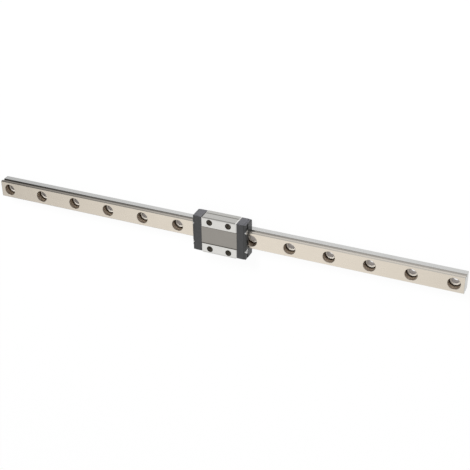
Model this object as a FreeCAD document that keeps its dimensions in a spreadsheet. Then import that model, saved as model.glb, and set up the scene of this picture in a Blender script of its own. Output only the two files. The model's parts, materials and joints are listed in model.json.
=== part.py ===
import FreeCAD, Part
import math
import os
import re
import Sketcher
from FreeCAD import Placement, Rotation, Vector

# Miniature linear guide: a rail and the ball-recirculating carriage that runs on it.
# Frame: X along the rail, Y across it, Z up out of the face with the screw holes.
# The origin is the middle of the rail's base. The carriage stands carriage_place along X.
# "left" is the -X end of the carriage, "right" the +X end, "front" -Y and "back" +Y.

SIZES = {
    # rail
    "rail_length": 250.0,
    "rail_width": 9.0,
    "rail_height": 6.5,
    "rail_top_edge": 0.4,
    "rail_base_edge": 0.3,
    "hole_pitch": 20.0,
    "hole_end_min": 5.0,
    "hole_radius": 1.75,
    "counterbore_radius": 3.0,
    "counterbore_depth": 3.5,
    "counterbore_rim": 0.2,
    # ball circuits
    "ball_diameter": 1.588,
    "ball_spacing": 0.02,
    "groove_clearance": 0.046,
    "row_drop": 2.3,
    "row_standoff": 0.15,
    "turn_radius": 1.325,
    "channel_clearance": 0.056,
    "return_clearance": 0.081,
    # retainer wire and its slot in the rail
    "wire_diameter": 0.3,
    "wire_clearance": 0.02,
    "slot_clearance": 0.1,
    "wire_bend": 0.4,
    "hook_inset": 0.65,
    "hook_depth": 0.8,
    # carriage block
    "carriage_place": 4.4,
    "block_length": 18.9,
    "block_width": 20.0,
    "side_gap": 0.3,
    "top_gap": 0.45,
    "deck_thickness": 3.05,
    "leg_drop": 2.2,
    "block_edge": 0.4,
    "foot_edge": 0.3,
    "foot_inset": 0.15,
    "end_bevel": 0.6,
    "end_top_bevel": 0.3,
    "band_half_width": 4.8,
    "band_depth": 0.25,
    "side_groove_rise": 0.8,
    "side_groove_half": 0.35,
    "side_groove_depth": 0.3,
    "mount_pitch_x": 10.0,
    "mount_pitch_y": 15.0,
    "mount_radius": 1.5,
    "mount_depth": 3.0,
    "mount_point": 0.75,
    "mount_countersink": 0.12,
    # end caps and seals
    "cap_length": 3.6,
    "cap_side_inset": 0.2,
    "cap_top_inset": 0.4,
    "cap_foot_inset": 0.1,
    "cap_round": 0.5,
    "cap_top_gap": 0.3,
    "seal_thickness": 1.4,
    "seal_inset": 0.1,
    "seal_clearance": 0.06,
    "seal_edge": 0.5,
    "ledge_half_width": 7.0,
    "ledge_rise": 2.7,
    "ledge_depth": 0.35,
    "grease_radius": 0.6,
    # return guides
    "guide_flange": 0.44,
    "guide_clearance": 0.02,
    # end screws
    "screw_spacing": 10.6,
    "screw_rise": 1.25,
    "screw_radius": 0.7,
    "screw_clearance": 0.02,
    "screw_cap_clearance": 0.05,
    "screw_grip": 2.9,
    "screw_tip": 0.15,
    "head_radius": 1.25,
    "head_height": 0.8,
    "head_edge": 0.15,
    "head_clearance": 0.08,
    "head_seat": 0.5,
    "cross_reach": 0.65,
    "cross_half_width": 0.17,
    "cross_depth": 0.5,
    # how far a cutting tool runs past the face that it leaves by
    "overshoot": 1.0,
}

# Sizes that follow from the driving ones, as formulas in their names.
ROW_Y = "(rail_width / 2 + row_standoff)"
ROW_Z = "(rail_height - row_drop)"
TURN_Y = "(rail_width / 2 + row_standoff + turn_radius)"
RETURN_Y = "(rail_width / 2 + row_standoff + 2 * turn_radius)"
GROOVE_RADIUS = "(ball_diameter / 2 + groove_clearance)"
CHANNEL_RADIUS = "(ball_diameter / 2 + channel_clearance)"
RETURN_RADIUS = "(ball_diameter / 2 + return_clearance)"
WIRE_Y = f"({ROW_Y} - ball_diameter / 2 - wire_clearance - wire_diameter / 2)"
CHANNEL_TOP = "(rail_height + top_gap)"
CHANNEL_HALF = "(rail_width / 2 + side_gap)"
BLOCK_TOP = f"({CHANNEL_TOP} + deck_thickness)"
BLOCK_FOOT = f"({ROW_Z} - leg_drop)"
BLOCK_HALF = "(block_width / 2)"
BLOCK_END = "(block_length / 2)"
CAP_END = f"({BLOCK_END} + cap_length)"
SEAL_END = f"({CAP_END} + seal_thickness)"
CAP_HALF = f"({BLOCK_HALF} - cap_side_inset)"
CAP_TOP = f"({BLOCK_TOP} - cap_top_inset)"
CAP_FOOT = f"({BLOCK_FOOT} + cap_foot_inset)"
SCREW_Y = "(screw_spacing / 2)"
SCREW_Z = f"({CHANNEL_TOP} + screw_rise)"
GUIDE_RADIUS = "(turn_radius - guide_clearance / 2)"
GUIDE_HEIGHT = f"(2 * ({CHANNEL_RADIUS} + guide_flange))"
HOOK_X = f"({CAP_END} - hook_inset)"
HOOK_Y = f"({CHANNEL_HALF} + hook_depth)"
HOLE_COUNT = "(floor((rail_length - 2 * hole_end_min) / hole_pitch) + 1)"

document = FreeCAD.newDocument("LinearGuide")
subparts = {}


def make_sheet():
    """The spreadsheet of driving dimensions: a name, a plain number, its alias."""
    sheet = document.addObject("Spreadsheet::Sheet", "Dimensions")
    for row, (name, size) in enumerate(SIZES.items(), start=1):
        sheet.set(f"A{row}", name.replace("_", " "))
        sheet.set(f"B{row}", str(size))
        sheet.setAlias(f"B{row}", name)
    document.recompute()


def formula(text):
    """The text with every driving dimension written as a reference to the sheet."""
    def refer(match):
        word = match.group(0)
        return f"Dimensions.{word}" if word in SIZES else word
    return re.sub(r"[a-z_]+", refer, text)


def bind(item, name, text):
    item.setExpression(name, formula(text))


def register(label, item):
    """Name a sub-part: its label is also the name of its file."""
    item.Label = label
    subparts[label] = item
    return item


# ---- sketches ----------------------------------------------------------------------

def plane_of(body, role):
    return next(item for item in body.Origin.OriginFeatures if item.Role == role)


def new_sketch(body, name, role, offset=None):
    """A sketch on one of the body's own origin planes, moved in the plane's axes."""
    sketch = body.newObject("Sketcher::SketchObject", name)
    sketch.AttachmentSupport = (plane_of(body, role), [""])
    sketch.MapMode = "FlatFace"
    for axis, text in (offset or {}).items():
        bind(sketch, f"AttachmentOffset.Base.{axis}", text)
    return sketch


def place_point(sketch, geometry, point, where):
    """Fix a point of the sketch at a pair of formulas, measured from its origin."""
    for kind, text in zip(("DistanceX", "DistanceY"), where):
        number = sketch.addConstraint(Sketcher.Constraint(kind, -1, 1, geometry, point, 1.0))
        bind(sketch, f"Constraints[{number}]", text)


def outline(sketch, corners):
    """A closed outline of straight lines through corners given as formulas."""
    count = len(corners)
    start = [
        Vector(math.cos(2 * math.pi * i / count), math.sin(2 * math.pi * i / count), 0)
        for i in range(count)
    ]
    first = sketch.GeometryCount
    for i in range(count):
        sketch.addGeometry(Part.LineSegment(start[i], start[(i + 1) % count]))
    for i in range(count):
        following = first + (i + 1) % count
        sketch.addConstraint(Sketcher.Constraint("Coincident", first + i, 2, following, 1))
        place_point(sketch, first + i, 1, corners[i])


def circle(sketch, where, radius):
    index = sketch.addGeometry(Part.Circle(Vector(1, 1, 0), Vector(0, 0, 1), 1.0))
    place_point(sketch, index, 3, where)
    number = sketch.addConstraint(Sketcher.Constraint("Radius", index, 1.0))
    bind(sketch, f"Constraints[{number}]", radius)


def both_sides(corners):
    """The corners of one half and their mirror images about the vertical axis."""
    return corners + [(f"-({across})", up) for across, up in reversed(corners)]


def box_corners(left, right, low, high):
    return [(left, low), (right, low), (right, high), (left, high)]


# ---- features ----------------------------------------------------------------------

def new_body(label):
    return register(label, document.addObject("PartDesign::Body", label))


def pad(body, name, sketch, length, symmetric=False):
    feature = body.newObject("PartDesign::Pad", name)
    feature.Profile = sketch
    feature.SideType = "Symmetric" if symmetric else "One side"
    bind(feature, "Length", length)
    body.Tip = feature
    return feature


def pocket(body, name, sketch, length, symmetric=True, forward=False):
    """Cut the sketch away: both ways, or one way from its plane."""
    feature = body.newObject("PartDesign::Pocket", name)
    feature.Profile = sketch
    feature.SideType = "Symmetric" if symmetric else "One side"
    feature.Reversed = forward
    bind(feature, "Length", length)
    body.Tip = feature
    return feature


def turned_cut(body, name, sketch, axis="V_Axis"):
    """Cut the sketch away, turned once round one of its own axes."""
    feature = body.newObject("PartDesign::Groove", name)
    feature.Profile = sketch
    feature.ReferenceAxis = (sketch, [axis])
    feature.Angle = 360
    body.Tip = feature
    return feature


def mirror(body, name, features, role):
    feature = body.newObject("PartDesign::Mirrored", name)
    feature.Originals = features
    feature.MirrorPlane = (plane_of(body, role), [""])
    body.Tip = feature
    return feature


def pattern(body, name, features, spacing, count):
    """Repeat features along X."""
    feature = body.newObject("PartDesign::LinearPattern", name)
    feature.Originals = features
    feature.Direction = (plane_of(body, "X_Axis"), [""])
    feature.Mode = "Spacing"
    bind(feature, "Offset", spacing)
    bind(feature, "Occurrences", count)
    body.Tip = feature
    return feature


def round_edges(body, name, radius, wanted):
    """Round the edges of the body so far that lie where wanted says."""
    document.recompute()
    base = body.Tip
    names = [
        f"Edge{i}" for i, edge in enumerate(base.Shape.Edges, start=1) if wanted(edge)
    ]
    feature = body.newObject("PartDesign::Fillet", name)
    feature.Base = (base, names)
    bind(feature, "Radius", radius)
    body.Tip = feature
    return feature


def runs_along_x(edge):
    box = edge.BoundBox
    return box.XLength > box.YLength + box.ZLength


# ---- places ------------------------------------------------------------------------

ENDS = {"right": 1, "left": -1}
FLANKS = {"back": 1, "front": -1}


def on_carriage(item, end=1, x=0.0, y=0.0, z=0.0):
    """Put a piece drawn about the carriage's middle on the carriage, or turned half round."""
    centre = SIZES["carriage_place"]
    turn = Rotation(Vector(0, 0, 1), 0 if end > 0 else 180)
    item.Placement = Placement(Vector(centre + x, y, z), turn)
    return item


# ---- rail --------------------------------------------------------------------------

def make_rail():
    """A ground bar with a ball groove down each side and counterbored screw holes."""
    body = new_body("rail")
    half = "(rail_width / 2)"
    section = new_sketch(body, "rail_section", "YZ_Plane")
    outline(section, both_sides([
        (f"{half} - rail_base_edge", "0"),
        (half, "rail_base_edge"),
        (half, "rail_height - rail_top_edge"),
        (f"{half} - rail_top_edge", "rail_height"),
    ]))
    pad(body, "rail_bar", section, "rail_length", symmetric=True)

    grooves = new_sketch(body, "rail_groove_circles", "YZ_Plane")
    circle(grooves, (ROW_Y, ROW_Z), GROOVE_RADIUS)
    circle(grooves, (f"-{ROW_Y}", ROW_Z), GROOVE_RADIUS)
    pocket(body, "rail_grooves", grooves, "rail_length + 2 * overshoot")

    slots = new_sketch(body, "wire_slot_outline", "YZ_Plane")
    reach = "(wire_diameter / 2 + slot_clearance)"
    slot = box_corners(f"{WIRE_Y} - {reach}", ROW_Y, f"{ROW_Z} - {reach}", f"{ROW_Z} + {reach}")
    outline(slots, slot)
    outline(slots, [(f"-({across})", up) for across, up in slot])
    pocket(body, "wire_slots", slots, "rail_length + 2 * overshoot")

    floor = "rail_height - counterbore_depth"
    rim = "counterbore_radius + counterbore_rim"
    first = new_sketch(body, "screw_hole_profile", "XZ_Plane",
                       {"x": f"-hole_pitch * ({HOLE_COUNT} - 1) / 2"})
    outline(first, [
        ("0", "-overshoot"),
        ("hole_radius", "-overshoot"),
        ("hole_radius", floor),
        ("counterbore_radius", floor),
        ("counterbore_radius", "rail_height - counterbore_rim"),
        (rim, "rail_height"),
        (rim, "rail_height + overshoot"),
        ("0", "rail_height + overshoot"),
    ])
    hole = turned_cut(body, "screw_hole", first)
    pattern(body, "screw_holes", [hole], "hole_pitch", HOLE_COUNT)


# ---- carriage block ----------------------------------------------------------------

def make_block():
    """The hardened steel block that straddles the rail."""
    body = new_body("carriage_block")
    side = f"({BLOCK_HALF} - foot_inset)"
    notch = f"({ROW_Z} + side_groove_rise)"
    section = new_sketch(body, "block_section", "YZ_Plane")
    outline(section, both_sides([
        (CHANNEL_HALF, CHANNEL_TOP),
        (CHANNEL_HALF, BLOCK_FOOT),
        (f"{side} - foot_edge", BLOCK_FOOT),
        (side, f"{BLOCK_FOOT} + foot_edge"),
        (side, f"{notch} - side_groove_half"),
        (f"{BLOCK_HALF} - side_groove_depth", notch),
        (BLOCK_HALF, f"{notch} + side_groove_half"),
        (BLOCK_HALF, f"{BLOCK_TOP} - block_edge"),
        (f"{BLOCK_HALF} - block_edge", BLOCK_TOP),
        ("band_half_width", BLOCK_TOP),
        ("band_half_width", f"{BLOCK_TOP} - band_depth"),
    ]))
    pad(body, "block_bar", section, "block_length", symmetric=True)
    bevel_block_ends(body)

    bores = new_sketch(body, "ball_way_circles", "YZ_Plane")
    for sign in ("", "-"):
        circle(bores, (f"{sign}{ROW_Y}", ROW_Z), GROOVE_RADIUS)
        circle(bores, (f"{sign}{RETURN_Y}", ROW_Z), RETURN_RADIUS)
    pocket(body, "ball_ways", bores, "block_length + 2 * overshoot")

    cut_mount_holes(body)

    threads = new_sketch(body, "end_screw_circles", "YZ_Plane", {"z": BLOCK_END})
    circle(threads, (SCREW_Y, SCREW_Z), "screw_radius + screw_clearance")
    circle(threads, (f"-{SCREW_Y}", SCREW_Z), "screw_radius + screw_clearance")
    right = pocket(body, "end_screw_holes_right", threads, "screw_grip", symmetric=False)
    mirror(body, "end_screw_holes", [right], "YZ_Plane")
    on_carriage(body)


def bevel_block_ends(body):
    """Bevel the upright end edges of the sides and the end edges of the top."""
    uprights = new_sketch(body, "upright_bevels", "XY_Plane")
    out_x = f"({BLOCK_END} + overshoot)"
    out_y = f"({BLOCK_HALF} + overshoot)"
    for along in ("", "-"):
        for across in ("", "-"):
            outline(uprights, [
                (f"{along}({BLOCK_END} - end_bevel - overshoot)", f"{across}{out_y}"),
                (f"{along}{out_x}", f"{across}({BLOCK_HALF} - end_bevel - overshoot)"),
                (f"{along}{out_x}", f"{across}{out_y}"),
            ])
    pocket(body, "upright_end_bevels", uprights, f"2 * ({BLOCK_TOP} + overshoot)")

    tops = new_sketch(body, "top_bevels", "XZ_Plane")
    out_z = f"({BLOCK_TOP} + overshoot)"
    for along in ("", "-"):
        outline(tops, [
            (f"{along}({BLOCK_END} - end_top_bevel - overshoot)", out_z),
            (f"{along}{out_x}", f"{BLOCK_TOP} - end_top_bevel - overshoot"),
            (f"{along}{out_x}", out_z),
        ])
    pocket(body, "top_end_bevels", tops, "block_width + 2 * overshoot")


def cut_mount_holes(body):
    """Four blind tapped holes, to their major diameter, drilled to a point."""
    mouth = "mount_radius + mount_countersink"
    bottom = f"{BLOCK_TOP} - mount_depth"
    holes = []
    for flank, sign in (("back", "-"), ("front", "")):
        profile = new_sketch(body, f"mount_profile_{flank}", "XZ_Plane",
                             {"x": "-mount_pitch_x / 2", "z": f"{sign}mount_pitch_y / 2"})
        outline(profile, [
            ("0", f"{bottom} - mount_point"),
            ("mount_radius", bottom),
            ("mount_radius", f"{BLOCK_TOP} - mount_countersink"),
            (mouth, BLOCK_TOP),
            (mouth, f"{BLOCK_TOP} + overshoot"),
            ("0", f"{BLOCK_TOP} + overshoot"),
        ])
        holes.append(turned_cut(body, f"mount_hole_{flank}", profile))
    pattern(body, "mount_holes", holes, "mount_pitch_x", "2")


# ---- end caps and seals ------------------------------------------------------------

def plate_outline(inset, half_opening, opening_top):
    """A plate that straddles the rail, drawn in from the cap's outline by an inset."""
    return both_sides([
        (half_opening, opening_top),
        (half_opening, f"{CAP_FOOT} + {inset}"),
        (f"{CAP_HALF} - {inset}", f"{CAP_FOOT} + {inset}"),
        (f"{CAP_HALF} - {inset}", f"{CAP_TOP} - {inset}"),
    ])


def outer_long_edge(edge):
    """True for the edges along X that lie nearer the block's sides than the rail's."""
    middle = (SIZES["rail_width"] + SIZES["block_width"]) / 4
    return runs_along_x(edge) and abs(edge.CenterOfMass.y) > middle


def make_end_cap(end):
    """Plastic cap that turns the balls round and carries the guides and the screws."""
    body = new_body(f"end_cap_{end}")
    section = new_sketch(body, "cap_section", "YZ_Plane", {"z": BLOCK_END})
    outline(section, plate_outline("0", CHANNEL_HALF, "rail_height + cap_top_gap"))
    pad(body, "cap_plate", section, "cap_length")
    round_edges(body, "cap_rounding", "cap_round", outer_long_edge)

    seat = new_sketch(body, "guide_seat_circle", "XY_Plane", {"z": ROW_Z})
    circle(seat, (BLOCK_END, TURN_Y), f"{GUIDE_RADIUS} + guide_clearance")
    seats = pocket(body, "guide_seat", seat, f"{GUIDE_HEIGHT} + 2 * guide_clearance")
    ring = new_sketch(body, "turn_circle", "XZ_Plane", {"x": BLOCK_END, "z": f"-{TURN_Y}"})
    circle(ring, ("turn_radius", ROW_Z), CHANNEL_RADIUS)
    turn = turned_cut(body, "turn_channel", ring)
    mirror(body, "both_turns", [seats, turn], "XZ_Plane")

    holes = new_sketch(body, "cap_hole_circles", "YZ_Plane", {"z": BLOCK_END})
    circle(holes, (SCREW_Y, SCREW_Z), "screw_radius + screw_cap_clearance")
    circle(holes, (f"-{SCREW_Y}", SCREW_Z), "screw_radius + screw_cap_clearance")
    circle(holes, ("0", SCREW_Z), "grease_radius")
    pocket(body, "cap_holes", holes, "cap_length + overshoot", symmetric=False, forward=True)

    hook = new_sketch(body, "wire_hole_circle", "XZ_Plane")
    circle(hook, (HOOK_X, ROW_Z), "wire_diameter / 2 + wire_clearance")
    pocket(body, "wire_holes", hook, f"2 * ({HOOK_Y} + wire_clearance)")
    on_carriage(body, ENDS[end])


def make_end_seal(end):
    """Wiper plate: its opening follows the rail, with a tongue in each ball groove."""
    body = new_body(f"end_seal_{end}")
    section = new_sketch(body, "seal_section", "YZ_Plane", {"z": CAP_END})
    outline(section, plate_outline(
        "seal_inset", "rail_width / 2 + seal_clearance", "rail_height + seal_clearance"))
    pad(body, "seal_plate", section, "seal_thickness")
    round_edges(body, "seal_rounding", "cap_round - seal_inset", outer_long_edge)

    tongues = new_sketch(body, "tongue_circles", "YZ_Plane", {"z": CAP_END})
    circle(tongues, (ROW_Y, ROW_Z), f"{GROOVE_RADIUS} - seal_clearance")
    circle(tongues, (f"-{ROW_Y}", ROW_Z), f"{GROOVE_RADIUS} - seal_clearance")
    pad(body, "tongues", tongues, "seal_thickness")

    bevel_seal_edges(body)
    cut_seal_ledges(body)

    holes = new_sketch(body, "seal_hole_circles", "YZ_Plane", {"z": CAP_END})
    circle(holes, (SCREW_Y, SCREW_Z), "screw_radius + screw_cap_clearance")
    circle(holes, (f"-{SCREW_Y}", SCREW_Z), "screw_radius + screw_cap_clearance")
    circle(holes, ("0", SCREW_Z), "grease_radius")
    pocket(body, "seal_holes", holes, "seal_thickness + overshoot",
           symmetric=False, forward=True)

    heads = new_sketch(body, "head_circles", "YZ_Plane", {"z": f"{CAP_END} + head_seat"})
    circle(heads, (SCREW_Y, SCREW_Z), "head_radius + head_clearance")
    circle(heads, (f"-{SCREW_Y}", SCREW_Z), "head_radius + head_clearance")
    pocket(body, "head_recesses", heads, "seal_thickness", symmetric=False, forward=True)
    on_carriage(body, ENDS[end])


def bevel_seal_edges(body):
    """Bevel the outer end edges of the seal's top and sides."""
    out_x = f"({SEAL_END} + overshoot)"
    back_x = f"({SEAL_END} - seal_edge - overshoot)"
    half = f"({CAP_HALF} - seal_inset)"
    sides = new_sketch(body, "seal_side_bevels", "XY_Plane")
    for across in ("", "-"):
        outline(sides, [
            (back_x, f"{across}({half} + overshoot)"),
            (out_x, f"{across}({half} - seal_edge - overshoot)"),
            (out_x, f"{across}({half} + overshoot)"),
        ])
    pocket(body, "seal_side_edges", sides, f"2 * ({CAP_TOP} + overshoot)")
    top = f"({CAP_TOP} - seal_inset)"
    upper = new_sketch(body, "seal_top_bevel", "XZ_Plane")
    outline(upper, [
        (back_x, f"{top} + overshoot"),
        (out_x, f"{top} - seal_edge - overshoot"),
        (out_x, f"{top} + overshoot"),
    ])
    pocket(body, "seal_top_edge", upper, "block_width + 2 * overshoot")


def cut_seal_ledges(body):
    """A shallow step in the seal's face at each side, from the ledge up to the top."""
    ledge_z = f"{ROW_Z} + ledge_rise"
    steps = new_sketch(body, "ledge_outlines", "YZ_Plane", {"z": f"{SEAL_END} - ledge_depth"})
    for across in ("", "-"):
        outline(steps, box_corners(
            f"{across}ledge_half_width", f"{across}{BLOCK_HALF}", ledge_z, BLOCK_TOP))
    pocket(body, "ledges", steps, "ledge_depth + overshoot", symmetric=False, forward=True)


# ---- small pieces of the carriage --------------------------------------------------

def make_return_guide(end, flank):
    """Half spool that the balls run round in the end cap; drawn about its own axis."""
    body = new_body(f"return_guide_{end}_{flank}")
    disc = new_sketch(body, "guide_circle", "XY_Plane")
    circle(disc, ("0", "0"), GUIDE_RADIUS)
    pad(body, "guide_disc", disc, GUIDE_HEIGHT, symmetric=True)
    half = new_sketch(body, "guide_half_outline", "XY_Plane")
    outline(half, box_corners("-2 * turn_radius", "0", "-2 * turn_radius", "2 * turn_radius"))
    pocket(body, "guide_half", half, f"{GUIDE_HEIGHT} + 2 * overshoot")
    ring = new_sketch(body, "guide_ring_circle", "XZ_Plane")
    circle(ring, ("turn_radius", "0"), CHANNEL_RADIUS)
    turned_cut(body, "guide_channel", ring)

    turn_y = circuit["row_y"] + SIZES["turn_radius"]
    on_carriage(body, ENDS[end], x=ENDS[end] * SIZES["block_length"] / 2,
                y=FLANKS[flank] * turn_y, z=circuit["row_z"])


def make_end_screw(end, flank):
    """Small cross-recessed screw; drawn along X with its seat at the origin."""
    body = new_body(f"end_screw_{end}_{flank}")
    shank = "(head_seat + cap_length + screw_grip)"
    profile = new_sketch(body, "screw_profile", "XZ_Plane")
    outline(profile, [
        (f"-{shank}", "0"),
        (f"-{shank}", "screw_radius - screw_tip"),
        (f"-{shank} + screw_tip", "screw_radius"),
        ("0", "screw_radius"),
        ("0", "head_radius"),
        ("head_height - head_edge", "head_radius"),
        ("head_height", "head_radius - head_edge"),
        ("head_height", "0"),
    ])
    turned = body.newObject("PartDesign::Revolution", "screw_turned")
    turned.Profile = profile
    turned.ReferenceAxis = (profile, ["H_Axis"])
    turned.Angle = 360
    body.Tip = turned

    cross = new_sketch(body, "cross_outline", "YZ_Plane", {"z": "head_height"})
    reach = "cross_reach"
    arm = "cross_half_width"
    outline(cross, [
        (reach, f"-{arm}"), (reach, arm), (arm, arm), (arm, reach),
        (f"-{arm}", reach), (f"-{arm}", arm), (f"-{reach}", arm), (f"-{reach}", f"-{arm}"),
        (f"-{arm}", f"-{arm}"), (f"-{arm}", f"-{reach}"), (arm, f"-{reach}"), (arm, f"-{arm}"),
    ])
    pocket(body, "cross_recess", cross, "cross_depth", symmetric=False)

    seat = SIZES["block_length"] / 2 + SIZES["cap_length"] + SIZES["head_seat"]
    height = SIZES["rail_height"] + SIZES["top_gap"] + SIZES["screw_rise"]
    on_carriage(body, ENDS[end], x=ENDS[end] * seat,
                y=FLANKS[flank] * SIZES["screw_spacing"] / 2, z=height)


def make_retainer_wire(flank):
    """Spring wire along the loaded balls, hooked outwards into both end caps."""
    body = new_body(f"retainer_wire_{flank}")
    spine = new_sketch(body, "wire_path", "XY_Plane", {"z": ROW_Z})
    bend_x = f"({HOOK_X} - wire_bend)"
    bend_y = f"({WIRE_Y} + wire_bend)"
    ends = [
        ((f"-{HOOK_X}", HOOK_Y), (f"-{HOOK_X}", bend_y)),
        ((f"-{bend_x}", WIRE_Y), (bend_x, WIRE_Y)),
        ((HOOK_X, bend_y), (HOOK_X, HOOK_Y)),
    ]
    for start, stop in ends:
        line = spine.addGeometry(Part.LineSegment(Vector(0, 0, 0), Vector(0, 1, 0)))
        place_point(spine, line, 1, start)
        place_point(spine, line, 2, stop)
    document.recompute()
    for before, centre in ((0, f"-{bend_x}"), (1, bend_x)):
        join_with_arc(spine, before, centre)
    document.recompute()

    section = new_sketch(body, "wire_section", "XZ_Plane", {"z": f"-{HOOK_Y}"})
    circle(section, (f"-{HOOK_X}", ROW_Z), "wire_diameter / 2")
    wire = body.newObject("PartDesign::AdditivePipe", "wire")
    wire.Profile = section
    wire.Spine = spine
    wire.Mode = "Frenet"
    body.Tip = wire
    on_carriage(body, FLANKS[flank])


def join_with_arc(sketch, before, centre_x):
    """A quarter bend from the end of one line to the start of the next line."""
    start = sketch.Geometry[before].EndPoint
    stop = sketch.Geometry[before + 1].StartPoint
    middle_x = start.x if abs(start.x) < abs(stop.x) else stop.x
    centre = Vector(middle_x, max(start.y, stop.y), 0)
    turn_from = math.atan2(start.y - centre.y, start.x - centre.x) % (2 * math.pi)
    circle_of_bend = Part.Circle(centre, Vector(0, 0, 1), SIZES["wire_bend"])
    arc = Part.ArcOfCircle(circle_of_bend, turn_from, turn_from + math.pi / 2)
    index = sketch.addGeometry(arc)
    sketch.addConstraint(Sketcher.Constraint("Coincident", index, 1, before, 2))
    sketch.addConstraint(Sketcher.Constraint("Coincident", index, 2, before + 1, 1))
    number = sketch.addConstraint(Sketcher.Constraint("DistanceX", -1, 1, index, 3, centre.x))
    bind(sketch, f"Constraints[{number}]", centre_x)


# ---- balls -------------------------------------------------------------------------

# Steps of halving that close in on a ball's place: more than doubles can tell apart.
HALVINGS = 50


def circuit_point(distance):
    """Centre of a ball that far round the back circuit, from the loaded row's left end."""
    radius = SIZES["turn_radius"]
    run = SIZES["block_length"]
    arc = math.pi * radius
    distance = distance % (2 * (run + arc))
    middle = circuit["row_y"] + radius
    if distance < run:
        return Vector(distance - run / 2, middle - radius, 0)
    if distance < run + arc:
        angle = (distance - run) / radius
        return Vector(run / 2 + radius * math.sin(angle), middle - radius * math.cos(angle), 0)
    if distance < 2 * run + arc:
        return Vector(run / 2 - (distance - run - arc), middle + radius, 0)
    angle = (distance - 2 * run - arc) / radius
    return Vector(-run / 2 - radius * math.sin(angle), middle + radius * math.cos(angle), 0)


def next_ball(distance, pitch):
    """How far round the next ball lies when its centre is one pitch away."""
    centre = circuit_point(distance)
    near, far = distance, distance + 2 * pitch
    for _ in range(HALVINGS):
        middle = (near + far) / 2
        if (circuit_point(middle) - centre).Length < pitch:
            near = middle
        else:
            far = middle
    return far


def walk_circuit(pitch, count):
    """Distances round the circuit of that many balls, the first just inside the row."""
    places = [pitch / 2]
    while len(places) < count:
        places.append(next_ball(places[-1], pitch))
    return places


def closes(pitch, count):
    """True if that many balls, a pitch apart, leave no less than a pitch at the end."""
    loop = 2 * (SIZES["block_length"] + math.pi * SIZES["turn_radius"])
    return next_ball(walk_circuit(pitch, count)[-1], pitch) <= loop + pitch / 2


def ball_places():
    """Centres of the balls: as many as fit, spread evenly round the circuit."""
    near = SIZES["ball_diameter"] + SIZES["ball_spacing"]
    count = 1
    while closes(near, count + 1):
        count += 1
    far = 2 * near
    for _ in range(HALVINGS):
        pitch = (near + far) / 2
        if closes(pitch, count):
            near = pitch
        else:
            far = pitch
    return [circuit_point(distance) for distance in walk_circuit(near, count)]


def make_ball(name, place):
    ball = document.addObject("Part::Sphere", name)
    bind(ball, "Radius", "ball_diameter / 2")
    ball.Placement.Base = place
    return ball


def make_ball_group(label, places):
    """One node of several balls, each a solid of its own."""
    group = register(label, document.addObject("Part::Compound", label))
    group.Links = [make_ball(f"{label}_{i}", place) for i, place in enumerate(places, 1)]


def make_balls(flank):
    """The loaded balls one by one; the returning and the turning ones as groups."""
    sign = FLANKS[flank]
    centre = Vector(SIZES["carriage_place"], 0, circuit["row_z"])
    end = SIZES["block_length"] / 2
    middle = circuit["row_y"] + SIZES["turn_radius"]
    groups = {"loaded": [], "returning": [], "left": [], "right": []}
    for place in ball_places():
        if abs(place.x) > end:
            name = "right" if place.x > 0 else "left"
        else:
            name = "loaded" if place.y < middle else "returning"
        groups[name].append(centre + Vector(place.x, sign * place.y, 0))
    for number, place in enumerate(groups["loaded"], start=1):
        label = f"load_ball_{flank}_{number:02d}"
        register(label, make_ball(label, place))
    make_ball_group(f"return_balls_{flank}", groups["returning"])
    make_ball_group(f"turn_balls_left_{flank}", groups["left"])
    make_ball_group(f"turn_balls_right_{flank}", groups["right"])


# ---- checks and files --------------------------------------------------------------

def check_model():
    """Stop on any object that failed to build and any sub-part without sound solids."""
    for item in document.Objects:
        if "Invalid" in item.State or "Error" in item.State:
            raise RuntimeError(f"{item.Name} did not build: {item.State}")
    for label, item in subparts.items():
        if item.Shape.isNull() or not item.Shape.isValid() or not item.Shape.Solids:
            raise RuntimeError(f"{label} has no sound shape")


def write_files():
    os.makedirs("parts", exist_ok=True)
    for label, item in subparts.items():
        item.Shape.exportStep(f"parts/{label}.step")
        print(f"{label:28s} solids {len(item.Shape.Solids):3d}  volume {item.Shape.Volume:10.3f}")


make_sheet()
circuit = {
    "row_y": SIZES["rail_width"] / 2 + SIZES["row_standoff"],
    "row_z": SIZES["rail_height"] - SIZES["row_drop"],
}
make_rail()
make_block()
for end in ENDS:
    make_end_cap(end)
    make_end_seal(end)
    for flank in FLANKS:
        make_return_guide(end, flank)
        make_end_screw(end, flank)
for flank in FLANKS:
    make_retainer_wire(flank)
    make_balls(flank)
document.recompute()
check_model()
write_files()
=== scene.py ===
# %% [markdown]
# A miniature linear guide is a ground steel rail with a small carriage that slides along it.
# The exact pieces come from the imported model, so this lesson adds what a surface needs to be
# believed: grinding marks, a dull milled band, the satin of moulded plastic, the thread inside
# the mounting holes, and a white tent of light such as small machine parts are shown in.
# Lengths in the script are metres, as in the model, and MM turns millimetres into them.

# %% Load the frame
import json
import math

import bmesh
import bpy
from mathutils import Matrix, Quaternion, Vector


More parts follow.
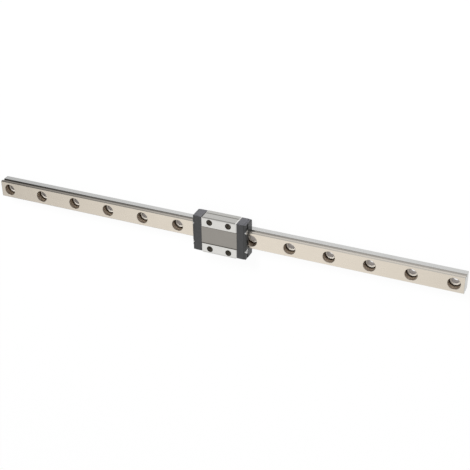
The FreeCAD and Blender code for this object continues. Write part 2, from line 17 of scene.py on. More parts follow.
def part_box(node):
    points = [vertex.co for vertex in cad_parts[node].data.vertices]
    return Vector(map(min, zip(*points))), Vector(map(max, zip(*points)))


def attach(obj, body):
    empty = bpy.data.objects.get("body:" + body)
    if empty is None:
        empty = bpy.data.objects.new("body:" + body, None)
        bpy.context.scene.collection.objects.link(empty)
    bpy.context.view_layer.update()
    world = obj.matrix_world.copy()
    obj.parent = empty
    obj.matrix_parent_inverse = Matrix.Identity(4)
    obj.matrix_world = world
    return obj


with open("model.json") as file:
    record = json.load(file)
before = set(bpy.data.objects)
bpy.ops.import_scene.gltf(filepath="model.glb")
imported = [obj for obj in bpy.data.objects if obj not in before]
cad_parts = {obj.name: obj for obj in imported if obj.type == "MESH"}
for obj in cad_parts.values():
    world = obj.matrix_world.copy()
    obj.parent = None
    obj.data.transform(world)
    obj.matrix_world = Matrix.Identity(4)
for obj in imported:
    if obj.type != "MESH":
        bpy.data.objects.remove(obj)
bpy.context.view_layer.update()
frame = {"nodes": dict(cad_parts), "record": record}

MM = 0.001
nodes = frame["nodes"]


# %% [markdown]
# The main sizes are read back from the pieces themselves. The rail's box gives its length, the
# block's box the middle of the carriage and the face that is bolted to, and an end cap's box
# the corners that wear. Sizes could be typed in again, but read back they can't disagree.

# %% Measure the main pieces
def spans(node):
    """Lowest and highest corner of a piece at rest."""
    low, high = (Vector(corner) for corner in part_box(node))
    return low, high


rail_low, rail_high = spans("rail")
cap_low, cap_high = spans("end_cap_right")
block_low, block_high = spans("carriage_block")
block_middle = (block_low + block_high) / 2
block_top = block_high.z
rail_length = (rail_high.x - rail_low.x) / MM
print(f"rail {rail_length:.1f} mm long, carriage at {block_middle.x / MM:.1f} mm")
print(f"end cap {(cap_high.x - cap_low.x) / MM:.1f} mm thick, block top {block_top / MM:.1f} mm up")


# %% [markdown]
# The camera looks down on the holes from beyond the rail's right end. It is rolled, so that the
# long rail runs nearly level across the picture with its far side at the top. A tracking
# rotation aims it and a turn about its own axis adds the roll.

# %% Place the camera
CAMERA = {"lens": 78.6, "sensor": 36.0, "place": (187.3, 254.5, 404.5),
          "aim": (11.36, 1.15, 6.0), "roll": -139.33}

camera_data = bpy.data.cameras.new("camera")
camera_data.lens = CAMERA["lens"]
camera_data.sensor_width = CAMERA["sensor"]
camera_data.clip_start = 0.01
camera = bpy.data.objects.new("camera", camera_data)
bpy.context.scene.collection.objects.link(camera)
camera.location = Vector(CAMERA["place"]) * MM
aim = Vector(CAMERA["aim"]) * MM
level = (aim - camera.location).to_track_quat("-Z", "Y")
roll = Quaternion((0, 0, 1), math.radians(CAMERA["roll"]))
camera.rotation_mode = "QUATERNION"
camera.rotation_quaternion = level @ roll
bpy.context.scene.camera = camera
print(f"camera {camera.location.length / MM:.0f} mm from the rail's middle")


# %% [markdown]
# Materials are trees of nodes, and a few short helpers keep them readable. One makes a
# material and finds its Principled shader, one adds a node with its settings, and one feeds a
# socket from another socket or from a plain number.

# %% Helpers: materials and nodes
def new_material(name):
    """An empty node material with its Principled shader."""
    material = bpy.data.materials.new(name)
    material.use_nodes = True
    shader = material.node_tree.nodes["Principled BSDF"]
    return material, material.node_tree, shader


def add_node(tree, kind, **settings):
    """A new node with its settings."""
    node = tree.nodes.new(kind)
    for setting, value in settings.items():
        setattr(node, setting, value)
    return node


def feed(tree, socket, source):
    """Connect a socket, or set it when the source is a plain number or colour."""
    if isinstance(source, bpy.types.NodeSocket):
        tree.links.new(source, socket)
    else:
        socket.default_value = source


print("helpers:", new_material.__name__, add_node.__name__, feed.__name__)


# %% [markdown]
# Patterns are worked out with sums, straight ramps and mixes of colour. Each is one node with
# its inputs fed, and returns its result for the next. A Mix node has sockets of the same name
# for numbers and for colours, so its colour sockets are taken by number.

# %% Helpers: sums, ramps and mixes
MIX_FIRST, MIX_SECOND, MIX_RESULT = 6, 7, 2


def maths(tree, operation, first, second=0.0):
    """One sum on two sockets or plain numbers."""
    node = add_node(tree, "ShaderNodeMath", operation=operation)
    feed(tree, node.inputs[0], first)
    feed(tree, node.inputs[1], second)
    return node.outputs[0]


def ramp(tree, value, low, high, low_out=0.0, high_out=1.0):
    """A straight ramp of a value between two limits, level outside them."""
    node = add_node(tree, "ShaderNodeMapRange")
    node.clamp = True
    for name, source in (("Value", value), ("From Min", low), ("From Max", high),
                         ("To Min", low_out), ("To Max", high_out)):
        feed(tree, node.inputs[name], source)
    return node.outputs["Result"]


def blend_colours(tree, factor, first, second):
    """The first colour where the factor is zero, the second where it is one."""
    node = add_node(tree, "ShaderNodeMix", data_type="RGBA")
    feed(tree, node.inputs["Factor"], factor)
    feed(tree, node.inputs[MIX_FIRST], first)
    feed(tree, node.inputs[MIX_SECOND], second)
    return node.outputs[MIX_RESULT]


print("helpers:", maths.__name__, ramp.__name__, blend_colours.__name__)


# %% [markdown]
# Every pattern is placed by where a point lies on the object, read in millimetres, so that its
# sizes are those of the real marks. A pattern can colour a surface, or tilt it as a bump does.

# %% Helpers: places and bumps
def position_mm(tree):
    """Where a point lies on the object, in millimetres."""
    place = add_node(tree, "ShaderNodeTexCoord")
    scale = add_node(tree, "ShaderNodeMapping")
    scale.inputs["Scale"].default_value = (1 / MM, 1 / MM, 1 / MM)
    tree.links.new(place.outputs["Object"], scale.inputs["Vector"])
    return scale.outputs["Vector"]


def split(tree, vector):
    """The X, Y and Z of a vector."""
    node = add_node(tree, "ShaderNodeSeparateXYZ")
    tree.links.new(vector, node.inputs[0])
    return node.outputs


def bump(tree, shader, height, strength, distance_mm):
    """Tilt a shader's surface by a height pattern."""
    node = add_node(tree, "ShaderNodeBump")
    node.inputs["Strength"].default_value = strength
    node.inputs["Distance"].default_value = distance_mm * MM
    tree.links.new(height, node.inputs["Height"])
    tree.links.new(node.outputs["Normal"], shader.inputs["Normal"])


print("helpers:", position_mm.__name__, split.__name__, bump.__name__)


# %% [markdown]
# A grinding wheel leaves fine straight lines along the rail. A picture of steel could be wrapped
# on, but noise needs no unwrapping and keeps its scale. Noise that is stretched along the rail
# gives the lines, and a second, broad noise the cloudy patches that oil and handling leave.
# Several steels use the same effect, so it is a group with named inputs and outputs, built once.

# %% Shader group: ground steel
def make_group(name, inputs, outputs):
    """An empty node group with named inputs and number outputs."""
    group = bpy.data.node_groups.new(name, "ShaderNodeTree")
    for socket, kind, value in inputs:
        made = group.interface.new_socket(socket, in_out="INPUT", socket_type=kind)
        if value is not None:
            made.default_value = value
    for socket in outputs:
        group.interface.new_socket(socket, in_out="OUTPUT", socket_type="NodeSocketFloat")
    return group, group.nodes.new("NodeGroupInput"), group.nodes.new("NodeGroupOutput")


def noise(tree, vector, scale, detail=2.0, roughness=0.5, squeeze=(1, 1, 1)):
    """Soft noise from zero to one, finer along an axis where squeeze is larger."""
    stretch = add_node(tree, "ShaderNodeMapping")
    stretch.inputs["Scale"].default_value = squeeze
    tree.links.new(vector, stretch.inputs["Vector"])
    node = add_node(tree, "ShaderNodeTexNoise")
    tree.links.new(stretch.outputs["Vector"], node.inputs["Vector"])
    node.inputs["Scale"].default_value = scale
    node.inputs["Detail"].default_value = detail
    node.inputs["Roughness"].default_value = roughness
    return node.outputs["Fac"]


def swing(tree, value, contrast):
    """How far a noise value lies from its middle, times a contrast."""
    return maths(tree, "MULTIPLY", maths(tree, "SUBTRACT", value, 0.5), contrast)


ground, ground_in, ground_out = make_group(
    "ground steel",
    [("Vector", "NodeSocketVector", None), ("Line Contrast", "NodeSocketFloat", 0.3),
     ("Cloud Contrast", "NodeSocketFloat", 0.3)],
    ["Tone", "Height", "Cloud"])
lines = noise(ground, ground_in.outputs["Vector"], 6.0, 3.0, 0.6, (0.02, 1.0, 1.0))
clouds = noise(ground, ground_in.outputs["Vector"], 0.22, 4.0, 0.6)
fine = noise(ground, ground_in.outputs["Vector"], 2.5, 2.0, 0.5)
line_part = swing(ground, lines, ground_in.outputs["Line Contrast"])
cloud_part = swing(ground, clouds, ground_in.outputs["Cloud Contrast"])
fine_part = swing(ground, fine, 0.08)
tone = maths(ground, "ADD", maths(ground, "ADD", line_part, cloud_part), fine_part)
ground.links.new(maths(ground, "ADD", tone, 1.0), ground_out.inputs["Tone"])
ground.links.new(lines, ground_out.inputs["Height"])
ground.links.new(clouds, ground_out.inputs["Cloud"])
print("group:", ground.name)


# %% [markdown]
# Corners of steel and plastic wear first. A plain stripe along an edge would look painted, so a
# second group turns closeness to the edge into a worn mask with a ragged border: broken noise
# decides how far the wear reaches in at each place.

# %% Shader group: edge wear
worn, worn_in, worn_out = make_group(
    "edge wear",
    [("Vector", "NodeSocketVector", None), ("Closeness", "NodeSocketFloat", 0.0)],
    ["Mask"])
ragged = noise(worn, worn_in.outputs["Vector"], 3.0, 4.0, 0.7)
reach = maths(worn, "ADD", worn_in.outputs["Closeness"], maths(worn, "MULTIPLY", ragged, 0.8))
worn.links.new(ramp(worn, reach, 1.05, 1.35), worn_out.inputs["Mask"])


def wear(tree, vector, closeness):
    """One where an edge is worn, from how close to the edge a point is."""
    node = add_node(tree, "ShaderNodeGroup", node_tree=worn)
    tree.links.new(vector, node.inputs["Vector"])
    tree.links.new(closeness, node.inputs["Closeness"])
    return node.outputs["Mask"]


print("group:", worn.name)


# %% [markdown]
# The rail is one steel with several looks. Its top is ground, with a warm cast that is a painted
# reflection. Down each side come a chamfer, a warm lip, the raceway that the balls run in, and a
# clean neutral land. The raceway, the lip and the chamfer darken towards the left end, and that
# darkening is painted shade. Each band could be a material on faces of its own, but the frame
# gives the rail one material, so the height of a point tells the bands apart.

# %% Bands of the rail
RAIL = {"raceway_low": 3.36, "raceway_high": 5.04, "chamfer": 6.12, "top": 6.46,
        "end_wear": 0.6}


def shade_along_rail(tree, x, from_x, to_x, shaded, unshaded):
    """A colour darkened by painted shade up to one place along the rail, unshaded from another."""
    return blend_colours(tree, ramp(tree, x, from_x, to_x), shaded, unshaded)


def rail_bands(tree, x, z):
    """Colour of the rail's outside, from its land up to its top."""
    # Painted shade: the raceway, the lip and the chamfer darken towards the left end.
    raceway = shade_along_rail(tree, x, -118.0, 105.0, (0.055, 0.05, 0.045, 1), (0.46, 0.435, 0.40, 1))
    lip = shade_along_rail(tree, x, -115.0, 60.0, (0.26, 0.235, 0.205, 1), (0.62, 0.575, 0.515, 1))
    chamfer = shade_along_rail(tree, x, -115.0, 80.0, (0.16, 0.15, 0.135, 1), (0.60, 0.57, 0.52, 1))
    colour = (0.60, 0.60, 0.59, 1)
    # The warm colour of the top is a painted reflection.
    for band, above in (("raceway_low", raceway), ("raceway_high", lip), ("chamfer", chamfer),
                        ("top", (0.81, 0.735, 0.63, 1))):
        colour = blend_colours(tree, maths(tree, "GREATER_THAN", z, RAIL[band]), colour, above)
    return colour


print("raceway of the rail from", RAIL["raceway_low"], "to", RAIL["raceway_high"], "mm up")


# %% [markdown]
# The screw holes have looks of their own. The bored wall of the counterbore is brown and turns dark
# towards its foot, which is painted shade in the corner. The ledge that a screw head sits on is a
# bright frosted ring inside a dark ring of painted shade along its outer corner, and the through
# hole is plain grey. A brighter ring round the counterbore's mouth is a painted highlight. The
# distance from the nearest hole's axis tells these apart, with the height for the ledge.

# %% Screw holes of the rail
HOLES = {"pitch": 20.0, "through": 1.8, "unshaded": 2.57, "ledge_shade": 2.72, "bore": 3.03, "rim": 3.24,
         "ledge": 3.0, "ledge_half": 0.04, "foot_shade": 0.3, "wall": 1.3}


def between(tree, value, low, high):
    """One where a value lies between two limits, zero elsewhere."""
    above = maths(tree, "GREATER_THAN", value, low)
    return maths(tree, "MULTIPLY", above, maths(tree, "LESS_THAN", value, high))


def hole_distance(tree, x, y, pitch, first_x, row_y=0.0):
    """Distance from the axis of the nearest hole of a row along X."""
    node = add_node(tree, "ShaderNodeMath", operation="WRAP")
    feed(tree, node.inputs[0], maths(tree, "SUBTRACT", x, first_x))
    node.inputs[1].default_value = pitch / 2
    node.inputs[2].default_value = -pitch / 2
    off_row = maths(tree, "SUBTRACT", maths(tree, "ABSOLUTE", y), row_y)
    along = maths(tree, "MULTIPLY", node.outputs[0], node.outputs[0])
    across = maths(tree, "MULTIPLY", off_row, off_row)
    return maths(tree, "SQRT", maths(tree, "ADD", along, across))


def unshaded_ledge(tree, distance, z):
    """One on the inner part of the ledge, inside the ring of painted shade along its corner."""
    level = between(tree, z, HOLES["ledge"] - HOLES["ledge_half"],
                    HOLES["ledge"] + HOLES["ledge_half"])
    return maths(tree, "MULTIPLY", level, ramp(tree, distance, HOLES["ledge_shade"], HOLES["unshaded"]))


def hole_colours(tree, distance, z, outside):
    """The outside colour, with the holes' colours, painted shade and a painted highlight in them.
    """
    # Painted shade: the wall of the counterbore turns dark towards its foot.
    foot_shade = ramp(tree, z, HOLES["ledge"] + HOLES["foot_shade"], HOLES["ledge"] + HOLES["wall"])
    wall = blend_colours(tree, foot_shade, (0.10, 0.066, 0.038, 1), (0.47, 0.39, 0.315, 1))
    inside = blend_colours(tree, unshaded_ledge(tree, distance, z), wall, (1.0, 0.95, 0.86, 1))
    inside = blend_colours(tree, maths(tree, "LESS_THAN", distance, HOLES["through"]),
                           inside, (0.33, 0.30, 0.28, 1))
    # Painted highlight: a brighter ring round the counterbore's mouth.
    rim = between(tree, distance, HOLES["bore"], HOLES["rim"])
    above = maths(tree, "GREATER_THAN", z, HOLES["ledge"])
    rimmed = blend_colours(tree, maths(tree, "MULTIPLY", rim, above), outside,
                           (0.86, 0.79, 0.69, 1))
    return blend_colours(tree, maths(tree, "LESS_THAN", distance, HOLES["bore"]),
                         rimmed, inside)


print("screw holes every", HOLES["pitch"], "mm")


# %% [markdown]
# Now the rail's steel comes together. The ground steel group tints its colour and gives the
# bump, the ends of the rail are worn, and the bores are rougher than the outside. The frosted
# ledge is made less metallic than the rest, so that it scatters the light of the lamps.

# %% Material: rail steel
def tinted(tree, colour, tone):
    """A colour made lighter or darker by a tone that varies about 1."""
    node = add_node(tree, "ShaderNodeMix", data_type="RGBA", blend_type="MULTIPLY")
    node.inputs["Factor"].default_value = 1.0
    feed(tree, node.inputs[MIX_FIRST], colour)
    grey = add_node(tree, "ShaderNodeCombineColor")
    for channel in range(3):
        tree.links.new(tone, grey.inputs[channel])
    tree.links.new(grey.outputs[0], node.inputs[MIX_SECOND])
    return node.outputs[MIX_RESULT]


def grind(tree, vector, line_contrast, cloud_contrast):
    """The ground steel group's outputs, for one material's contrasts."""
    node = add_node(tree, "ShaderNodeGroup", node_tree=ground)
    tree.links.new(vector, node.inputs["Vector"])
    node.inputs["Line Contrast"].default_value = line_contrast
    node.inputs["Cloud Contrast"].default_value = cloud_contrast
    return node.outputs


def make_rail_steel():
    """Ground steel with its bands, its screw holes and worn ends."""
    material, tree, shader = new_material("rail_steel")
    vector = position_mm(tree)
    x, y, z = split(tree, vector)
    marks = grind(tree, vector, 0.16, 0.14)
    distance = hole_distance(tree, x, y, HOLES["pitch"], 0.0)
    colour = hole_colours(tree, distance, z, rail_bands(tree, x, z))
    end = rail_high.x / MM
    corner = ramp(tree, maths(tree, "ABSOLUTE", x), end - RAIL["end_wear"], end)
    worn_steel = blend_colours(tree, wear(tree, vector, corner), colour, (0.51, 0.51, 0.49, 1))
    tree.links.new(tinted(tree, worn_steel, marks["Tone"]), shader.inputs["Base Color"])
    bore = maths(tree, "LESS_THAN", distance, HOLES["bore"])
    frosted = maths(tree, "MULTIPLY", bore, unshaded_ledge(tree, distance, z))
    tree.links.new(ramp(tree, frosted, 0.0, 1.0, 1.0, 0.15), shader.inputs["Metallic"])
    rough = maths(tree, "ADD", ramp(tree, marks["Cloud"], 0.3, 0.7, 0.24, 0.34),
                  maths(tree, "MULTIPLY", bore, 0.14))
    tree.links.new(rough, shader.inputs["Roughness"])
    bump(tree, shader, marks["Height"], 0.25, 0.01)
    return material


finishes = {"rail_steel": make_rail_steel()}
print("finish:", ", ".join(finishes))


# %% [markdown]
# The block has bright strips where a table is bolted down, ground flat, and between them a
# shallow milled band that was never ground, so it is darker and shows broader marks. The strips
# darken towards their outer edges and a dark line runs along each edge of the band at its step,
# both painted shade. Its sides are a duller grey with a shallow notch along them, darkened along
# the notch and the top edges by painted shade, and the bevels of its upright end corners are
# bright with a painted highlight. As on the rail, where a point lies tells which face it is on.

# %% Faces of the block
BLOCK = {"notch": 5.2, "notch_half": 0.56, "band_half": 4.8, "band_depth": 0.35,
         "step_shade_width": 0.45, "edge": 0.42, "bevel_highlight": 0.6, "strip_depth": 0.03,
         "strip_shade_start": 9.0, "strip_shade_full": 9.4}


def block_sides(tree, x, z):
    """Side colour: painted shade at the notch and top edges, a painted highlight on the end bevels.
    """
    # Painted shade: a dark band along the notch.
    notch = between(tree, z, BLOCK["notch"] - BLOCK["notch_half"],
                    BLOCK["notch"] + BLOCK["notch_half"])
    colour = blend_colours(tree, notch, (0.50, 0.495, 0.475, 1), (0.25, 0.245, 0.225, 1))
    # Painted shade: the sides darken along their top edges.
    edge = maths(tree, "GREATER_THAN", z, block_top / MM - BLOCK["edge"])
    colour = blend_colours(tree, edge, colour, (0.30, 0.295, 0.28, 1))
    # Painted highlight: the upright end bevels are bright.
    from_middle = maths(tree, "ABSOLUTE", maths(tree, "SUBTRACT", x, block_middle.x / MM))
    upright_highlight = maths(tree, "GREATER_THAN", from_middle,
                    (block_high.x - block_middle.x) / MM - BLOCK["bevel_highlight"])
    return blend_colours(tree, upright_highlight, colour, (0.80, 0.79, 0.77, 1))


def block_faces(tree, x, y, z, marks, milled):
    """Colour of the block's outside, and a mask that is one on its milled band."""
    top = block_top / MM
    across = maths(tree, "ABSOLUTE", y)
    strip = maths(tree, "GREATER_THAN", z, top - BLOCK["strip_depth"])
    # Painted shade: the ground strips darken towards their outer edges.
    outer_shade = ramp(tree, across, BLOCK["strip_shade_start"], BLOCK["strip_shade_full"])
    ground_flat = blend_colours(tree, outer_shade, (0.76, 0.75, 0.72, 1), (0.64, 0.63, 0.605, 1))
    bright = tinted(tree, blend_colours(tree, strip, block_sides(tree, x, z), ground_flat),
                    marks["Tone"])
    # Painted shade: a darker line along each edge of the milled band, at its step.
    step_shade = maths(tree, "GREATER_THAN", across, BLOCK["band_half"] - BLOCK["step_shade_width"])
    band_and_step_shade = blend_colours(tree, step_shade, (0.37, 0.35, 0.32, 1), (0.22, 0.205, 0.185, 1))
    in_band = maths(tree, "LESS_THAN", across, BLOCK["band_half"] + 0.01)
    band = maths(tree, "MULTIPLY", in_band,
                 maths(tree, "GREATER_THAN", z, top - BLOCK["band_depth"]))
    return blend_colours(tree, band, bright, tinted(tree, band_and_step_shade, milled["Tone"])), band


print("milled band of the block", 2 * BLOCK["band_half"], "mm wide")


# %% [markdown]
# The block's four tapped holes have nearly black walls, which is painted shade in the deep holes,
# paler towards the crest of the thread as a painted highlight. The same function that finds the
# rail's nearest hole finds these, in two rows.

# %% Material: block steel
TAPPED = {"pitch_x": 10.0, "row_y": 7.5, "mouth": 1.62, "radius": 1.5, "crest": 1.25,
          "thread_pitch": 0.5, "depth": 3.0}


def make_block_steel():
    """The block's ground and milled steel, with painted shade in the tapped holes."""
    material, tree, shader = new_material("block_steel")
    vector = position_mm(tree)
    x, y, z = split(tree, vector)
    marks = grind(tree, vector, 0.12, 0.12)
    milled = grind(tree, vector, 0.10, 0.35)
    outside, band = block_faces(tree, x, y, z, marks, milled)
    first = block_middle.x / MM - TAPPED["pitch_x"] / 2
    distance = hole_distance(tree, x, y, TAPPED["pitch_x"], first, TAPPED["row_y"])
    # Painted shade: the tapped holes are nearly black, with paler crests as a painted highlight.
    thread = blend_colours(tree, ramp(tree, distance, TAPPED["crest"], TAPPED["radius"] - 0.1),
                           (0.20, 0.18, 0.15, 1), (0.035, 0.03, 0.022, 1))
    within = maths(tree, "LESS_THAN", distance, TAPPED["mouth"])
    below = maths(tree, "LESS_THAN", z, block_top / MM - 0.005)
    hole = maths(tree, "MULTIPLY", within, below)
    tree.links.new(blend_colours(tree, hole, outside, thread), shader.inputs["Base Color"])
    shader.inputs["Metallic"].default_value = 1.0
    rough = maths(tree, "ADD", ramp(tree, marks["Cloud"], 0.3, 0.7, 0.24, 0.34),
                  maths(tree, "MULTIPLY", band, 0.10))
    tree.links.new(rough, shader.inputs["Roughness"])
    bump(tree, shader, marks["Height"], 0.2, 0.01)
    return material


finishes["block_steel"] = make_block_steel()
print("finish:", ", ".join(finishes))


# %% [markdown]
# The end caps are moulded black plastic. Close up the mould leaves a fine pebbled skin, the tone
# wanders a little where the plastic cooled, the flanks are paler as painted light, and the
# corners are rubbed smoother. The seals are nitrile rubber, blacker and duller, with the same
# pebbling at another scale, so the skin is a shared group too.

# %% Shader group: moulded skin
moulded, moulded_in, moulded_out = make_group(
    "moulded skin",
    [("Vector", "NodeSocketVector", None), ("Pebble Scale", "NodeSocketFloat", 6.0)],
    ["Tone", "Height", "Sheen"])
pebble_node = add_node(moulded, "ShaderNodeTexNoise")
moulded.links.new(moulded_in.outputs["Vector"], pebble_node.inputs["Vector"])
moulded.links.new(moulded_in.outputs["Pebble Scale"], pebble_node.inputs["Scale"])
pebble_node.inputs["Detail"].default_value = 3.0
drift = noise(moulded, moulded_in.outputs["Vector"], 0.9, 4.0, 0.6)
moulded.links.new(ramp(moulded, drift, 0.3, 0.7, 0.68, 1.32), moulded_out.inputs["Tone"])
moulded.links.new(pebble_node.outputs["Fac"], moulded_out.inputs["Height"])
moulded.links.new(ramp(moulded, drift, 0.3, 0.7, -0.06, 0.06), moulded_out.inputs["Sheen"])
print("group:", moulded.name)


# %% [markdown]
# Each moulded finish is one material made by the same function: a colour, a paler one for the
# flanks that is painted light, another for the rubbed corners, and the size of the pebbles. The
# guides inside the caps are pale plastic, too deep in the carriage for the wear of its corners to
# reach them.

# %% Materials: plastics and rubber
MOULDED = {"side_wear": 0.6, "side_full": 0.05, "top_wear": 0.5, "flank": 0.2}


def corner_closeness(tree, y, z):
    """Rises from zero to one over the last half millimetre to a cap's outer corners."""
    wide, high = cap_high.y / MM, cap_high.z / MM
    side = ramp(tree, maths(tree, "ABSOLUTE", y), wide - MOULDED["side_wear"],
                wide - MOULDED["side_full"])
    top = ramp(tree, z, high - MOULDED["top_wear"], high)
    return maths(tree, "MULTIPLY", side, top)


def make_moulded(name, colour, lit_flank, rubbed, roughness, pebble_scale):
    """Moulded plastic or rubber with pebbled skin, flanks paler by painted light, rubbed corners.
    """
    material, tree, shader = new_material(name)
    vector = position_mm(tree)
    y, z = split(tree, vector)[1:]
    skin = add_node(tree, "ShaderNodeGroup", node_tree=moulded)
    tree.links.new(vector, skin.inputs["Vector"])
    skin.inputs["Pebble Scale"].default_value = pebble_scale
    rub = wear(tree, vector, corner_closeness(tree, y, z))
    # Painted light: the flanks take the paler colour.
    flank = maths(tree, "GREATER_THAN", maths(tree, "ABSOLUTE", y),
                  cap_high.y / MM - MOULDED["flank"])
    body = blend_colours(tree, flank, colour, lit_flank)
    surface = blend_colours(tree, rub, tinted(tree, body, skin.outputs["Tone"]), rubbed)
    tree.links.new(surface, shader.inputs["Base Color"])
    rough = maths(tree, "ADD", skin.outputs["Sheen"], roughness)
    rough = maths(tree, "SUBTRACT", rough, maths(tree, "MULTIPLY", rub, 0.12))
    tree.links.new(rough, shader.inputs["Roughness"])
    shader.inputs["IOR"].default_value = 1.6
    bump(tree, shader, skin.outputs["Height"], 0.3, 0.02)
    return material


finishes["cap_plastic"] = make_moulded(
    "cap_plastic", (0.025, 0.025, 0.026, 1), (0.057, 0.057, 0.066, 1), (0.07, 0.07, 0.075, 1),
    0.36, 7.0)
finishes["seal_rubber"] = make_moulded(
    "seal_rubber", (0.023, 0.023, 0.023, 1), (0.062, 0.062, 0.071, 1), (0.05, 0.05, 0.05, 1),
    0.45, 10.0)
finishes["guide_plastic"] = make_moulded(
    "guide_plastic", (0.55, 0.54, 0.50, 1), (0.55, 0.54, 0.50, 1), (0.6, 0.59, 0.55, 1),
    0.45, 8.0)
print("finish:", ", ".join(finishes))


# %% [markdown]
# Screws, wire and balls are bright steels. The screws keep faint turning marks, the wire the
# lines of its drawing die, and the balls are lapped so finely that only a trace of unevenness
# is left in their polish. They differ only in colour, gloss and marks, so one function makes
# all three. Then every piece of the frame gets the finish that its record names.

# %% Materials: small bright parts
def make_bright_steel(name, colour, roughness, line_contrast):
    """Clean steel with faint tool marks."""
    material, tree, shader = new_material(name)
    marks = grind(tree, position_mm(tree), line_contrast, 0.1)
    tree.links.new(tinted(tree, colour, marks["Tone"]), shader.inputs["Base Color"])
    shader.inputs["Metallic"].default_value = 1.0
    rough = ramp(tree, marks["Cloud"], 0.3, 0.7, roughness * 0.85, roughness * 1.15)
    tree.links.new(rough, shader.inputs["Roughness"])
    return material


finishes["screw_steel"] = make_bright_steel("screw_steel", (0.62, 0.62, 0.61, 1), 0.3, 0.15)
finishes["wire_steel"] = make_bright_steel("wire_steel", (0.66, 0.66, 0.65, 1), 0.3, 0.2)
finishes["ball_steel"] = make_bright_steel("ball_steel", (0.75, 0.75, 0.75, 1), 0.08, 0.02)
for entry in frame["record"]["subparts"]:
    for slot in nodes[entry["node"]].material_slots:
        slot.material = finishes[entry["material_slot"]]
print("finish:", ", ".join(finishes))


# %% [markdown]
# The tapped holes of the block are plain bores in the frame, cut to the thread's largest radius.
# A real one shows its thread. A bump could only shade the wall, so each hole gets a real ridge
# that winds down it. A small ridge section is spun about the hole's axis and dropped a little at
# each step, which draws a helix. Its outer side sinks a hair into the wall, so no gap shows.

# %% Threads of the tapped holes
THREAD = {"steps_a_turn": 32, "sink": 0.01, "first_turn": 0.7, "spare_turns": 1.2,
          "root_half": 0.42, "crest_half": 0.08}


def make_thread(name, centre_x, centre_y):
    """A ridge that winds down a tapped hole, with its turns one thread pitch apart."""
    pitch = TAPPED["thread_pitch"] * MM
    root = (TAPPED["radius"] + THREAD["sink"]) * MM
    crest = TAPPED["crest"] * MM
    turns = TAPPED["depth"] / TAPPED["thread_pitch"] - THREAD["spare_turns"]
    start = block_top - THREAD["first_turn"] * pitch
    shape = bmesh.new()
    section = [(root, THREAD["root_half"]), (crest, THREAD["crest_half"]),
               (crest, -THREAD["crest_half"]), (root, -THREAD["root_half"])]
    corners = [
        shape.verts.new((centre_x + out, centre_y, start + rise * pitch))
        for out, rise in section
    ]
    face = shape.faces.new(corners)
    steps_a_turn = THREAD["steps_a_turn"]
    steps = round(turns * steps_a_turn)
    bmesh.ops.spin(
        shape, geom=[face, *face.edges, *face.verts], cent=(centre_x, centre_y, 0),
        axis=(0, 0, 1), angle=math.tau * steps / steps_a_turn, steps=steps,
        dvec=(0, 0, -pitch / steps_a_turn), use_merge=False)
    bmesh.ops.remove_doubles(shape, verts=shape.verts, dist=1e-7)
    bmesh.ops.recalc_face_normals(shape, faces=shape.faces)
    mesh = bpy.data.meshes.new(name)
    shape.to_mesh(mesh)
    shape.free()
    mesh.materials.append(finishes["block_steel"])
    thread = bpy.data.objects.new(name, mesh)
    bpy.context.scene.collection.objects.link(thread)
    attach(thread, "carriage")
    return thread


for end, along in (("left", -1), ("right", 1)):
    for flank, across in (("front", -1), ("back", 1)):
        hole_x = block_middle.x + along * TAPPED["pitch_x"] / 2 * MM
        thread = make_thread(f"thread_{end}_{flank}", hole_x, across * TAPPED["row_y"] * MM)
        print(thread.name, len(thread.data.polygons), "faces")


# %% [markdown]
# The guide lies on a white floor inside a white light tent. The world is the tent. It is plain
# white to the camera, and steel mirrors it brightest a little to the left and dimmer towards
# both ends, so the long flat top of the rail is not one even tone. Two lamps give direction: a
# broad, weak one from the front right and a smaller, stronger one from the back left, which
# lights one side of the ledge in each counterbore. Both are kept out of mirror reflections,
# where they would burn white patches into the steel. The floor keeps the soft shadow.

# %% Floor
FLOOR = {"half_side": 3000.0, "drop": 0.05, "dim_from": -130.0, "dim_to": -10.0, "dim": 0.74,
         "glow": 0.94}


def light_ray_mask(tree):
    """One for rays from the camera and for mirror and glass rays, zero for the rest."""
    path = add_node(tree, "ShaderNodeLightPath")
    seen = maths(tree, "MAXIMUM", path.outputs["Is Camera Ray"], path.outputs["Is Glossy Ray"])
    return maths(tree, "MAXIMUM", seen, path.outputs["Is Transmission Ray"])


def make_floor():
    """A white floor that glows for the camera and mirrors, and takes a soft shadow."""
    shape = bmesh.new()
    bmesh.ops.create_grid(shape, x_segments=1, y_segments=1, size=FLOOR["half_side"] * MM)
    mesh = bpy.data.meshes.new("floor")
    shape.to_mesh(mesh)
    shape.free()
    floor = bpy.data.objects.new("floor", mesh)
    bpy.context.scene.collection.objects.link(floor)
    floor.location.z = -FLOOR["drop"] * MM
    material, tree, shader = new_material("floor_white")
    shader.inputs["Base Color"].default_value = (0.9, 0.9, 0.9, 1)
    shader.inputs["Roughness"].default_value = 0.9
    shader.inputs["Specular IOR Level"].default_value = 0.0
    glow = add_node(tree, "ShaderNodeEmission")
    along = split(tree, position_mm(tree))[0]
    mirrored = add_node(tree, "ShaderNodeLightPath").outputs["Is Glossy Ray"]
    level = ramp(tree, along, FLOOR["dim_from"], FLOOR["dim_to"], FLOOR["dim"], 1.0)
    dimmer = maths(tree, "SUBTRACT", level, 1.0)
    strength = maths(tree, "ADD", maths(tree, "MULTIPLY", mirrored, dimmer), 1.0)
    tree.links.new(strength, glow.inputs["Strength"])
    mix = add_node(tree, "ShaderNodeMixShader")
    glowing = maths(tree, "MULTIPLY", light_ray_mask(tree), FLOOR["glow"])
    tree.links.new(glowing, mix.inputs[0])
    tree.links.new(shader.outputs[0], mix.inputs[1])
    tree.links.new(glow.outputs[0], mix.inputs[2])
    tree.links.new(mix.outputs[0], tree.nodes["Material Output"].inputs["Surface"])
    mesh.materials.append(material)


make_floor()
print("floor laid")


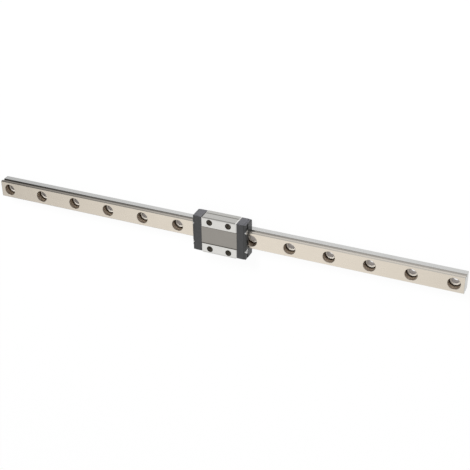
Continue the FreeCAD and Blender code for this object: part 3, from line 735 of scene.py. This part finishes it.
# %% [markdown]
# A direction in the tent is told by its X, from -1 at the far left to 1 at the far right. One
# ramp brings the mirrored tent up from the left and a second lets it down to the right. Plain
# surfaces are lit by a tent that is dimmer all over, so that the shading of the lamps shows.

# %% World and lamps
TENT = {"left_dark": -0.66, "left_bright": -0.42, "left_level": 0.36, "right_bright": -0.24,
        "right_dark": 0.0, "right_level": 0.62, "dimmed": 0.40}


def make_world():
    """The light tent, with a level of its own for mirrors and for plain surfaces."""
    world = bpy.data.worlds.new("light_tent")
    bpy.context.scene.world = world
    world.use_nodes = True
    tree = world.node_tree
    background = tree.nodes["Background"]
    background.inputs["Color"].default_value = (1, 1, 1, 1)
    along = split(tree, add_node(tree, "ShaderNodeTexCoord").outputs["Generated"])[0]
    left = ramp(tree, along, TENT["left_dark"], TENT["left_bright"], TENT["left_level"], 1.0)
    right = ramp(tree, along, TENT["right_bright"], TENT["right_dark"], 1.0, TENT["right_level"])
    tent = maths(tree, "MULTIPLY", left, right)
    path = add_node(tree, "ShaderNodeLightPath")
    mirrored = maths(tree, "MULTIPLY", path.outputs["Is Glossy Ray"],
                     maths(tree, "SUBTRACT", tent, 1.0))
    seen = maths(tree, "ADD", mirrored, 1.0)
    plain = maths(tree, "SUBTRACT", 1.0, light_ray_mask(tree))
    soft = maths(tree, "MULTIPLY", plain, TENT["dimmed"])
    tree.links.new(maths(tree, "SUBTRACT", seen, soft), background.inputs["Strength"])


def make_lamp(name, place_mm, size_mm, watts):
    """A square lamp that shines on the rail's middle and shows in no mirror."""
    data = bpy.data.lights.new(name, "AREA")
    data.size = size_mm * MM
    data.energy = watts
    lamp = bpy.data.objects.new(name, data)
    bpy.context.scene.collection.objects.link(lamp)
    lamp.location = Vector(place_mm) * MM
    toward = (-Vector(place_mm)).to_track_quat("-Z", "Y")
    lamp.rotation_euler = toward.to_euler()
    lamp.visible_glossy = False


make_world()
for name, place_mm, size_mm, watts in (("key", (200, -500, 900), 900, 1.0),
                                       ("side", (-200, 800, 720), 300, 10.0)):
    make_lamp(name, place_mm, size_mm, watts)
    print("lamp:", name, watts, "W")
bpy.context.scene.view_settings.view_transform = "Standard"
print("stage set")
